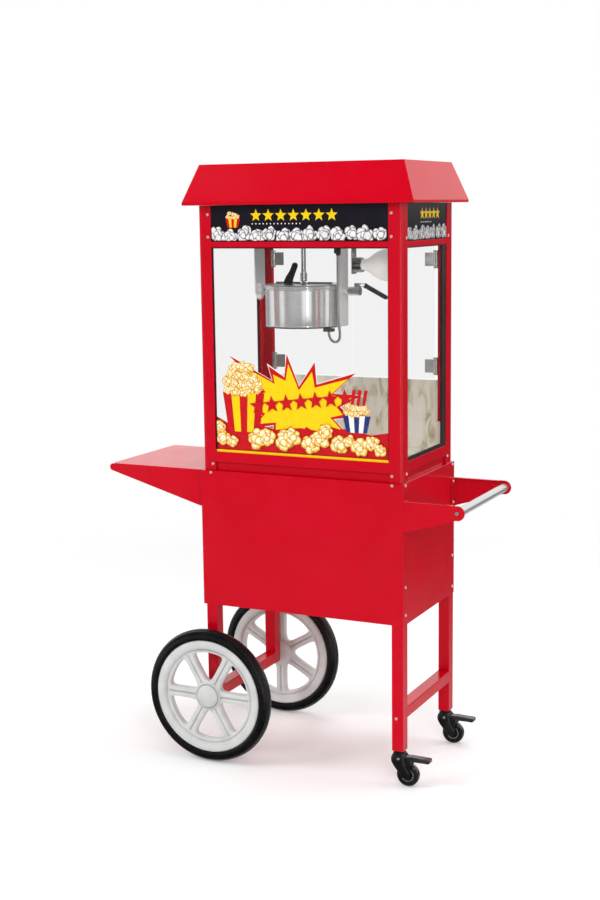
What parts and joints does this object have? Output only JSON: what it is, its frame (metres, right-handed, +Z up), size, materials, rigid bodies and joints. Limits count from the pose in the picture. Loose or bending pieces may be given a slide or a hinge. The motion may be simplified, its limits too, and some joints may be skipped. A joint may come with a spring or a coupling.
{
  "type": "popcorn machine on a cart",
  "caption": "Glazed popcorn cabinet with a tilting kettle, stirrer, lamp and rear doors, on a wheeled cart with spoked wheels, braked castors, side shelf and push bar.",
  "frame": {"origin": "on the floor under the middle of the whole object, shelf and push bar included", "axes": "+Z up, the front window faces -Y, the push bar is at +X and the side shelf at -X"},
  "size_m": [0.999, 0.466, 1.53],
  "materials": {
    "red_paint": "glossy",
    "stainless": "brushed",
    "chrome_trim": "polished",
    "kettle_steel": "polished",
    "black_sign": "glossy",
    "black_plastic": "satin",
    "bakelite": "satin",
    "rubber_seal": "matt",
    "pane": "clear",
    "bulb_glass": "frosted",
    "motor_case": "satin",
    "cast_heater": "matt",
    "braid": "woven",
    "wheel_grey": "satin",
    "tyre_rubber": "matt",
    "zinc": "satin"
  },
  "bodies": {
    "cabinet": {"roof": "red_paint", "corner_posts": "red_paint", "sign_panels": "black_sign", "header_rails": "red_paint", "control_panel": "red_paint", "ceiling_plate": "stainless", "base_rails": "red_paint", "popcorn_deck": "stainless", "rear_lower_panel": "stainless", "front_glass": "pane", "side_glass": "pane", "window_gaskets": "rubber_seal", "door_hinge_leaves": "chrome_trim", "motor": "motor_case", "hanger_left": "stainless", "hanger_right": "stainless", "kettle_lead": "braid", "lead_plug": "black_plastic", "lamp_bracket": "chrome_trim", "lamp_bulb": "bulb_glass", "power_inlet": "black_plastic", "cart_front_panel": "red_paint", "cart_side_panels": "red_paint", "cart_shelves": "red_paint", "side_shelf": "red_paint", "handle_arms": "red_paint", "handle_tube": "zinc", "left_legs": "red_paint", "right_legs": "red_paint", "side_braces": "red_paint", "axle": "zinc", "castor_stems": "black_plastic", "screws": "chrome_trim"},
    "door_left": {"door_left_glass": "pane", "door_left_fittings": "chrome_trim"},
    "door_right": {"door_right_glass": "pane", "door_right_fittings": "chrome_trim"},
    "drive": {"drive_shaft": "chrome_trim"},
    "kettle": {"kettle_pot": "kettle_steel", "kettle_heater": "cast_heater", "kettle_cover": "kettle_steel", "tilt_arm": "chrome_trim", "tilt_grip": "bakelite"},
    "lid_flap": {"kettle_flap": "kettle_steel", "flap_lever": "bakelite"},
    "stirrer_body": {"stirrer": "stainless"},
    "drawer": {"crumb_drawer": "stainless"},
    "heat_rocker": {"heat_switch": "black_plastic"},
    "motor_rocker": {"motor_switch": "black_plastic"},
    "lamp_rocker": {"lamp_switch": "black_plastic"},
    "front_wheel": {"wheel_front": "wheel_grey", "tyre_front": "tyre_rubber"},
    "rear_wheel": {"wheel_rear": "wheel_grey", "tyre_rear": "tyre_rubber"},
    "front_swivel": {"castor_front_fork": "black_plastic"},
    "rear_swivel": {"castor_rear_fork": "black_plastic"},
    "front_castor": {"castor_front_wheel": "black_plastic"},
    "rear_castor": {"castor_rear_wheel": "black_plastic"},
    "front_brake": {"castor_front_pedal": "black_plastic"},
    "rear_brake": {"castor_rear_pedal": "black_plastic"}
  },
  "joints": [
    {"name": "door_left_hinge", "type": "hinge", "parent": "cabinet", "child": "door_left", "pos_m": [-0.1635, 0.16, 1.15], "axis": [0, 0, 1], "range_deg": [0, 90]},
    {"name": "door_right_hinge", "type": "hinge", "parent": "cabinet", "child": "door_right", "pos_m": [0.2965, 0.16, 1.15], "axis": [0, 0, -1], "range_deg": [0, 90]},
    {"name": "kettle_tilt", "type": "hinge", "parent": "cabinet", "child": "kettle", "pos_m": [0.0005, 0, 1.213], "axis": [1, 0, 0], "range_deg": [0, 72], "deforming": ["kettle_lead"]},
    {"name": "lid_flap_hinge", "type": "hinge", "parent": "kettle", "child": "lid_flap", "pos_m": [0.0005, 0.002, 1.2315], "axis": [-1, 0, 0], "range_deg": [0, 65]},
    {"name": "drive_spin", "type": "hinge", "parent": "cabinet", "child": "drive", "pos_m": [0.0005, 0, 1.3], "axis": [0, 0, 1], "continuous": true},
    {"name": "stirrer_spin", "type": "hinge", "parent": "kettle", "child": "stirrer_body", "pos_m": [0.0005, 0, 1.2], "axis": [0, 0, 1], "continuous": true},
    {"name": "drawer_slide", "type": "slide", "parent": "cabinet", "child": "drawer", "axis": [0, 1, 0], "range_m": [0, 0.18]},
    {"name": "heat_rocker_tip", "type": "hinge", "parent": "cabinet", "child": "heat_rocker", "pos_m": [0.1365, 0.172, 1.384], "axis": [-1, 0, 0], "range_deg": [0, 16]},
    {"name": "motor_rocker_tip", "type": "hinge", "parent": "cabinet", "child": "motor_rocker", "pos_m": [0.1765, 0.172, 1.384], "axis": [-1, 0, 0], "range_deg": [0, 16]},
    {"name": "lamp_rocker_tip", "type": "hinge", "parent": "cabinet", "child": "lamp_rocker", "pos_m": [0.2165, 0.172, 1.384], "axis": [-1, 0, 0], "range_deg": [0, 16]},
    {"name": "front_wheel_spin", "type": "hinge", "parent": "cabinet", "child": "front_wheel", "pos_m": [-0.1835, 0, 0.176], "axis": [0, 1, 0], "continuous": true},
    {"name": "rear_wheel_spin", "type": "hinge", "parent": "cabinet", "child": "rear_wheel", "pos_m": [-0.1835, 0, 0.176], "axis": [0, 1, 0], "continuous": true},
    {"name": "front_castor_swivel", "type": "hinge", "parent": "cabinet", "child": "front_swivel", "pos_m": [0.3279, -0.1638, 0.075], "axis": [0, 0, 1], "continuous": true},
    {"name": "front_castor_spin", "type": "hinge", "parent": "front_swivel", "child": "front_castor", "pos_m": [0.3509, -0.1638, 0.029], "axis": [0, 1, 0], "continuous": true},
    {"name": "front_brake_press", "type": "hinge", "parent": "front_swivel", "child": "front_brake", "pos_m": [0.3399, -0.1638, 0.071], "axis": [0, 1, 0], "range_deg": [0, 12]},
    {"name": "rear_castor_swivel", "type": "hinge", "parent": "cabinet", "child": "rear_swivel", "pos_m": [0.3279, 0.1638, 0.075], "axis": [0, 0, 1], "continuous": true},
    {"name": "rear_castor_spin", "type": "hinge", "parent": "rear_swivel", "child": "rear_castor", "pos_m": [0.3509, 0.1638, 0.029], "axis": [0, 1, 0], "continuous": true},
    {"name": "rear_brake_press", "type": "hinge", "parent": "rear_swivel", "child": "rear_brake", "pos_m": [0.3399, 0.1638, 0.071], "axis": [0, 1, 0], "range_deg": [0, 12]}
  ],
  "couplings": [
    {"joint": "stirrer_spin", "follows": "drive_spin", "ratio": 1}
  ]
}
